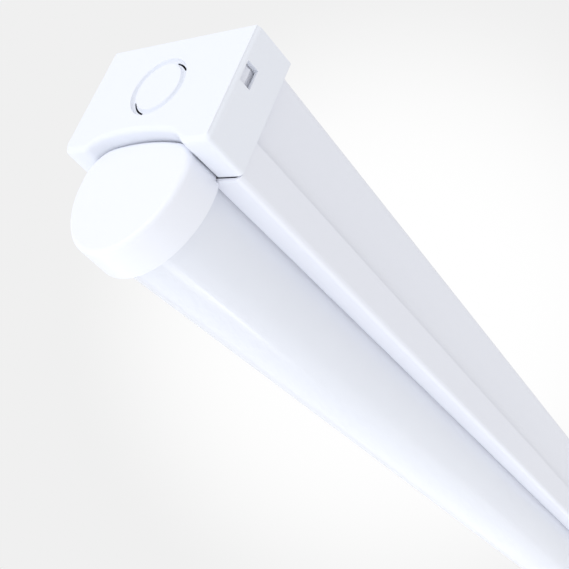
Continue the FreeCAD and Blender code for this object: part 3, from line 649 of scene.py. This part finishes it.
# ------------------------------------------------------------------ diffuser
# One opal acrylic extrusion the length of the lamp: an oval trough whose two lips lean out into
# the tray's channel and hold it there. Milky and faintly glossy, with fine draw lines lengthwise.
diffuser_end = -587.6
lip_out = 0.96
lip_up = 4.8
put_down()
start_outline(diffuser_end, lip_at(0.0)[1] + lip_out, lip_height + lip_up)
draw_line(-lip_out, -lip_up)
draw_oval(diffuser_end, 0.0)
draw_line(-lip_out, lip_up)
close_outline()
bpy.ops.mesh.select_mode(type="EDGE")
runs = (5.8, 20.0, 547.8, 28.0, 547.8, 20.0, 5.8)
for run in runs:
    bpy.ops.mesh.extrude_region_move(TRANSFORM_OT_translate={"value": (run * MM, 0, 0)})
bpy.ops.mesh.select_all(action="SELECT")
bpy.ops.mesh.normals_make_consistent(inside=False)
diffuser = bpy.context.object
bpy.ops.object.mode_set(mode="OBJECT")
wall = diffuser.modifiers.new("wall", "SOLIDIFY")
wall.thickness = 1.4 * MM
wall.offset = -1.0
wall.use_even_offset = True
bpy.ops.object.modifier_apply(modifier=wall.name)
for x in (-585.0, 585.0):
    cut(diffuser, block(x - 3.2, x + 3.2, -25.0, 25.0, lip_height, -38.0))

# Milky: light goes a little way in. The draw lines run along it and only break up its shine.
opal, tree, shader, place = new_finish("opal_acrylic_extrusion", 1.49)
shader.inputs["Subsurface Weight"].default_value = 0.25
shader.inputs["Subsurface Radius"].default_value = (1.0, 1.0, 1.0)
shader.inputs["Subsurface Scale"].default_value = 4.0 * MM
stretch = add_node(tree, "ShaderNodeMapping", {"Scale": (0.02, 1.0, 1.0)}, {"Vector": place})
lines = speckle(tree, stretch.outputs["Vector"], 0.8, 2.0)
cloud = speckle(tree, place, 90.0, 1.0)
colour_by(tree, shader, cloud, from_hex("e7eaf4"), from_hex("ebeef7"))
shine_by(tree, shader, lines, 0.2, 0.26)
raise_by(tree, shader, lines, 0.06, 0.02)
finish_piece(diffuser, "diffuser_extrusion", "lamp_module", ["diffuser"], opal)

# ------------------------------------------------------------------ spine and gear tray
# Both are folded from 1 mm sheet steel and powder coated white after folding. The spine is the
# channel that is fixed to the ceiling, and the tray hangs in under it. The coat is satin with a
# very fine orange peel.


def from_solid(node):
    """A merged copy of a CAD node's mesh, with its flat faces made whole again."""
    source = frame["nodes"][node]
    piece = bpy.data.objects.new(node + "_copy", source.data.copy())
    bpy.context.scene.collection.objects.link(piece)
    put_down()
    piece.select_set(True)
    bpy.context.view_layer.objects.active = piece
    bpy.ops.mesh.customdata_custom_splitnormals_clear()
    bpy.ops.object.mode_set(mode="EDIT")
    bpy.ops.mesh.select_all(action="SELECT")
    bpy.ops.mesh.remove_doubles(threshold=0.002 * MM)
    bpy.ops.mesh.dissolve_limited(angle_limit=math.radians(0.5))
    bpy.ops.object.mode_set(mode="OBJECT")
    return piece


# The orange peel softens what the satin coat reflects, without grain that the eye picks out.
powder_coat, tree, shader, place = new_finish("white_powder_coat", 1.5)
peel = speckle(tree, place, 1.1, 1.5)
cloud = speckle(tree, place, 120.0, 1.0)
colour_by(tree, shader, cloud, from_hex("e9ebf4"), from_hex("edeff7"))
shine_by(tree, shader, peel, 0.3, 0.4)
raise_by(tree, shader, peel, 0.1, 0.05)
finish_piece(from_solid("spine"), "spine_channel", "base", ["spine"], powder_coat,
             0.15)
finish_piece(from_solid("gear_tray"), "gear_tray_sheet", "lamp_module", ["gear_tray"],
             powder_coat, 0.15)

# ------------------------------------------------------------------ spring clips
# Two bright spring steel strips, hooked into slots in the tray's floor. Their arms bow out
# against the inside of the spine and hold the tray up. Rolled strip: fine grain along it.


def rolled_metal(name, colour, roughness, grain_mm, stretch):
    """Bare metal with the fine lines that rolling leaves, stretched along one axis."""
    material = bpy.data.materials.new(name)
    material.use_nodes = True
    tree = material.node_tree
    shader = tree.nodes["Principled BSDF"]
    shader.inputs["Metallic"].default_value = 1.0
    place = add_node(tree, "ShaderNodeTexCoord").outputs["Object"]
    along = add_node(tree, "ShaderNodeMapping", {"Scale": stretch}, {"Vector": place})
    grain = speckle(tree, along.outputs["Vector"], grain_mm, 3.0)
    colour_by(tree, shader, grain, *shades_of(colour, 0.93))
    shine_by(tree, shader, grain, roughness - 0.04, roughness + 0.04)
    raise_by(tree, shader, grain, 0.07, 0.02)
    return material


spring_steel = rolled_metal("bright_spring_steel", "c9cacd", 0.28, 0.5, (1.0, 0.05, 0.05))
for end in ("near", "far"):
    node = "tray_clip_" + end
    finish_piece(from_solid(node), node + "_strip", "lamp_module", [node],
                 spring_steel, 0.08)

# ------------------------------------------------------------------ screws
# Five M3 thread-forming screws, zinc plated: a hexagon head with a pressed flange and a cross
# recess. One is modelled and copied to each place.
zinc = rolled_metal("zinc_plated_steel", "d3d6dc", 0.3, 0.9, (1.0, 1.0, 1.0))


def screw_at(x, y, seat):
    """A screw standing on its seat height, in millimetres."""
    head_height = 1.6
    middle = Vector((x, y, seat + head_height / 2.0)) * MM
    put_down()
    bpy.ops.mesh.primitive_cylinder_add(vertices=6, radius=2.7 * MM, depth=head_height * MM,
                                        location=middle, rotation=(0.0, 0.0, math.pi / 6.0))
    bpy.ops.object.transform_apply(location=True, rotation=True, scale=True)
    head = bpy.context.object
    pick(head, "EDGE", lambda p, d: p.z > seat + 1.5)
    bpy.ops.mesh.bevel(offset=0.35 * MM, segments=3, affect="EDGES")
    flange = hole(2.95, x, y, seat, seat + 0.45)
    pick(flange, "EDGE", lambda p, d: p.z > seat + 0.4)
    bpy.ops.mesh.bevel(offset=0.2 * MM, segments=3, affect="EDGES")
    put_down()
    weld(head, flange)
    weld(head, hole(1.5, x, y, seat - 5.0, seat + 0.1))
    for across, along in ((1.7, 0.42), (0.42, 1.7)):
        recess = block(x - across, x + across, y - along, y + along, seat + 0.6, seat + 2.0)
        pick(recess, "VERT", lambda p: p.z < seat + 0.7)
        bpy.ops.transform.resize(value=(0.6, 0.6, 1.0), center_override=(x * MM, y * MM, seat * MM))
        cut(head, recess)
    return head


def join_pieces(pieces):
    """Makes several forms one piece."""
    put_down()
    for piece in pieces:
        piece.select_set(True)
    bpy.context.view_layer.objects.active = pieces[0]
    bpy.ops.object.join()
    return bpy.context.object


ear_top = -35.7
lug_top = -36.9
earth_x, earth_y = 100.0, 15.0
fixings = (
    ("driver_fixing_screws", "driver_screws", ((265.0, 15.5, ear_top), (515.0, -15.5, ear_top))),
    ("diffuser_cap_fixing_screws", "diffuser_cap_screws",
     ((tongue_screw_x, 0.0, tongue_top), (-tongue_screw_x, 0.0, tongue_top))),
    ("earth_fixing_screw", "earth_screw", ((earth_x, earth_y, lug_top),)),
)
for name, node, places in fixings:
    screws = join_pieces([screw_at(*place) for place in places])
    finish_piece(screws, name, "lamp_module", [node], zinc)

# ------------------------------------------------------------------ light-emitting boards
# Two narrow glass-epoxy boards with white solder mask, held under the tray's floor by its tabs.
# Under the mask the copper tracks show as faint raised lines along the board.
mask, tree, shader, place = new_finish("white_solder_mask", 1.5)
shader.inputs["Roughness"].default_value = 0.32
rows = add_node(tree, "ShaderNodeTexWave",
                {"wave_type": "BANDS", "bands_direction": "Y", "Scale": 1.0 / (20.0 * MM),
                 "Distortion": 0.0}, {"Vector": place})
track = two_tones(tree, rows.outputs["Fac"], from_hex("e4e3dc"), from_hex("f2f2ee"))
track.color_ramp.elements[0].position = 0.25
track.color_ramp.elements[1].position = 0.32
tree.links.new(track.outputs["Color"], shader.inputs["Base Color"])
raise_by(tree, shader, track.outputs["Color"], 0.3, 0.04)
for end in ("near", "far"):
    node = "led_board_" + end
    finish_piece(from_solid(node), node + "_panel", "lamp_module", [node], mask,
                 0.1)

# ------------------------------------------------------------------ emitters
# Surface-mounted packages, 2.8 by 3.5 mm: a moulded rim round a pool of yellow phosphor in
# silicone. One is modelled and copied along both boards in two staggered rows.
phosphor, tree, shader, place = new_finish("yellow_phosphor_silicone", 1.41)
shader.inputs["Roughness"].default_value = 0.22
grit = speckle(tree, place, 0.25, 2.0)
colour_by(tree, shader, grit, from_hex("e2b93c"), from_hex("efcc57"))
package_rim = moulded_plastic("white_package_rim", "eeeeea", 0.4, 0.2)
board_end = 561.0
board_length = 560.0
emitter_count = 24
row_place = 6.0
half_long = 1.4
half_wide = 1.75
package_bottom = -40.9
package_top = -40.2
pool_depth = 0.2
for end, sign in (("near", -1.0), ("far", 1.0)):
    made = []
    for index in range(emitter_count):
        x = sign * (board_end - (index + 0.5) * board_length / emitter_count)
        y = row_place if index % 2 == 0 else -row_place
        package = block(x - half_long, x + half_long, y - half_wide, y + half_wide,
                        package_bottom, package_top)
        pick(package, "FACE", lambda p, n: n.z < -0.9)
        bpy.ops.mesh.inset(thickness=0.35 * MM, depth=0.0)
        bpy.ops.mesh.extrude_region_move(
            TRANSFORM_OT_translate={"value": (0.0, 0.0, pool_depth * MM)})
        bpy.ops.transform.resize(value=(0.86, 0.86, 1.0), center_override=(x * MM, y * MM, 0.0))
        put_down()
        made.append(package)
    emitters = join_pieces(made)
    node = "led_emitters_" + end
    finish_piece(emitters, node + "_packages", "lamp_module", [node],
                 package_rim)
    emitters.data.materials.append(phosphor)
    pool = package_bottom + pool_depth
    for face in emitters.data.polygons:
        if face.normal.z < -0.9 and abs(face.center.z / MM - pool) < 0.05:
            face.material_index = 1

# ------------------------------------------------------------------ link and socket
# White nylon connectors on the boards: the link bridges the two boards, and the socket takes the
# driver's two output leads.
nylon = moulded_plastic("natural_nylon", "eeeeea", 0.45, 0.4)
for node in ("board_link", "board_socket"):
    finish_piece(from_solid(node), node + "_moulding", "lamp_module", [node],
                 nylon, 0.3)

# ------------------------------------------------------------------ driver
# The supply unit: a closed white polycarbonate case screwed to the tray by an ear at each end,
# under a plain aluminium lid whose ribs shed its heat.
case_moulding = moulded_plastic("white_driver_case", "e4e6e9", 0.42, 0.8)
finish_piece(from_solid("driver_case"), "driver_case_moulding", "lamp_module", ["driver_case"],
             case_moulding, 0.4)
lid_metal = rolled_metal("mill_finish_aluminium", "d4d6da", 0.34, 0.7, (0.04, 1.0, 1.0))
finish_piece(from_solid("driver_cover"), "driver_cover_extrusion", "lamp_module",
             ["driver_cover"], lid_metal, 0.25)

# ------------------------------------------------------------------ terminal block
# A grey polyamide block with a square wire entry and a coloured release button for each pole:
# brown for live, blue for neutral and green for earth.
polyamide = moulded_plastic("grey_polyamide", "b9bbbe", 0.48, 0.5)
finish_piece(from_solid("terminal_block"), "terminal_block_moulding", "lamp_module",
             ["terminal_block"], polyamide, 0.25)
buttons = (("live", "button_brown", "6b4630"), ("neutral", "button_blue", "2f62b0"),
           ("earth", "button_green", "3f8b45"))
for pole, slot, colour in buttons:
    node = "terminal_button_" + pole
    finish_piece(from_solid(node), node + "_moulding", "button_" + pole, [node],
                 moulded_plastic(slot + "_moulding", colour, 0.4, 0.4), 0.35)

# ------------------------------------------------------------------ leads
# Single-core leads of 0.5 mm2 in PVC, 2.2 mm over the insulation, soft and faintly glossy. The
# mains leads run straight through the saddles, and the output leads turn down through the bush.


def insulation(name, colour, second=None):
    """Extruded PVC with a slight waviness, and a second colour as a stripe along one side."""
    material, tree, shader, place = new_finish(name, 1.53)
    shader.inputs["Roughness"].default_value = 0.38
    wave = speckle(tree, place, 4.0, 1.0)
    source = two_tones(tree, wave, *shades_of(colour, 0.9)).outputs["Color"]
    if second:
        apart = add_node(tree, "ShaderNodeSeparateXYZ", links={"Vector": place})
        half = add_node(tree, "ShaderNodeMath", {"operation": "PINGPONG", 1: 2.2 * MM},
                        {0: apart.outputs["Y"]})
        side = add_node(tree, "ShaderNodeMath", {"operation": "GREATER_THAN", 1: 1.2 * MM},
                        {0: half.outputs["Value"]})
        both = add_node(tree, "ShaderNodeMix", {"data_type": "RGBA"},
                        {"Factor": side.outputs["Value"]})
        tree.links.new(source, both.inputs[6])
        both.inputs[7].default_value = from_hex(second)
        source = both.outputs[2]
    tree.links.new(source, shader.inputs["Base Color"])
    raise_by(tree, shader, wave, 0.2, 0.05)
    return material


def start_lead(place):
    """Begins a lead that leaves along +X: a round end of its insulation."""
    put_down()
    bpy.ops.mesh.primitive_circle_add(vertices=16, radius=1.1 * MM, fill_type="NGON",
                                      location=Vector(place) * MM,
                                      rotation=(0.0, math.pi / 2.0, 0.0))
    bpy.ops.object.transform_apply(location=True, rotation=True, scale=True)
    bpy.ops.object.mode_set(mode="EDIT")
    bpy.ops.mesh.select_all(action="SELECT")
    bpy.ops.mesh.select_mode(type="FACE")


def run_lead(by):
    """Runs the lead on straight."""
    bpy.ops.mesh.extrude_region_move(TRANSFORM_OT_translate={"value": Vector(by) * MM})


def bend_lead(centre, axis, degrees):
    """Bends the lead round a centre, in millimetres."""
    bpy.ops.mesh.spin(steps=8, angle=math.radians(degrees), center=Vector(centre) * MM, axis=axis)


def end_lead():
    """Ends the lead, with its faces outwards."""
    bpy.ops.mesh.select_all(action="SELECT")
    bpy.ops.mesh.remove_doubles(threshold=0.002 * MM)
    bpy.ops.mesh.normals_make_consistent(inside=False)
    bpy.ops.object.mode_set(mode="OBJECT")
    return bpy.context.object


mains_start = 70.0
mains_height = -30.7
lead_bend = 1.8
mains = (("live", -10.0, "brown", "5f3d29"), ("neutral", 0.0, "blue", "2c5fb2"))
for pole, y, tone, colour in mains:
    start_lead((mains_start, y, mains_height))
    run_lead((204.0, 0.0, 0.0))
    node = pole + "_lead"
    slot = "lead_" + tone
    finish_piece(end_lead(), node + "_insulation", "lamp_module", [node],
                 insulation(slot + "_pvc", colour))

# The earth lead drops to a tinned ring lug under the earth screw.
earth_path = [Vector((mains_start, 10.0, mains_height)), Vector((78.0, 10.0, mains_height)),
              Vector((88.0, earth_y, -36.6)), Vector((96.0, earth_y, -36.6))]
start_lead(earth_path[0])
at = earth_path[0]
heading = (earth_path[1] - at).normalized()
for corner, following in zip(earth_path[1:-1], earth_path[2:]):
    onward = (following - corner).normalized()
    angle = heading.angle(onward)
    cut_back = lead_bend * math.tan(angle / 2.0)
    run_lead(corner - heading * cut_back - at)
    inward = (onward - heading).normalized()
    bend_lead(corner + inward * (lead_bend / math.cos(angle / 2.0)), heading.cross(onward),
              -math.degrees(angle))
    at = corner + onward * cut_back
    heading = onward
run_lead(earth_path[-1] - at)
earth = end_lead()
finish_piece(earth, "earth_lead_insulation", "lamp_module", ["earth_lead"],
             insulation("green_yellow_pvc", "3f8f3f", "e5cf3a"))
lug_half = 3.0
lug_sheet = 0.8
lug = block(92.0, earth_x + lug_half, earth_y - lug_half, earth_y + lug_half,
            lug_top - lug_sheet, lug_top)
pick(lug, "EDGE", lambda p, d: p.x > earth_x and abs(d.z) > 0.9)
bpy.ops.mesh.bevel(offset=2.9 * MM, segments=8, affect="EDGES")
cut(lug, hole(screw_hole, earth_x, earth_y, -40.0, -30.0))
finish_piece(lug, "earth_lead_lug", "lamp_module", [], zinc, 0.1)

driver_face = 506.0
output_height = -27.7
output_run = 64.2
output_drop = 10.4
across = (0.0, 1.0, 0.0)
outputs = (("positive", -7.4, "a8221b", "lead_red"), ("negative", -9.8, "1d1d1f", "lead_black"))
for name, y, colour, slot in outputs:
    turn_x = driver_face + output_run
    turn_z = output_height - lead_bend
    start_lead((driver_face, y, output_height))
    run_lead((output_run, 0.0, 0.0))
    bend_lead((turn_x, y, turn_z), across, -90.0)
    run_lead((0.0, 0.0, -output_drop))
    bend_lead((turn_x, y, turn_z - output_drop), across, -90.0)
    run_lead((-11.2, 0.0, 0.0))
    node = "output_lead_" + name
    finish_piece(end_lead(), node + "_insulation", "lamp_module", [node],
                 insulation(slot + "_pvc", colour))

# ------------------------------------------------------------------ bush and saddles
# A black rubber bush guards the square hole where the output leads pass the tray, and four
# natural nylon saddles hold the mains leads down.
rubber = moulded_plastic("black_rubber", "232325", 0.62, 0.7)
finish_piece(from_solid("lead_bush"), "lead_bush_moulding", "lamp_module", ["lead_bush"],
             rubber, 0.2)
finish_piece(from_solid("lead_saddles"), "lead_saddle_mouldings", "lamp_module", ["lead_saddles"],
             nylon, 0.15)
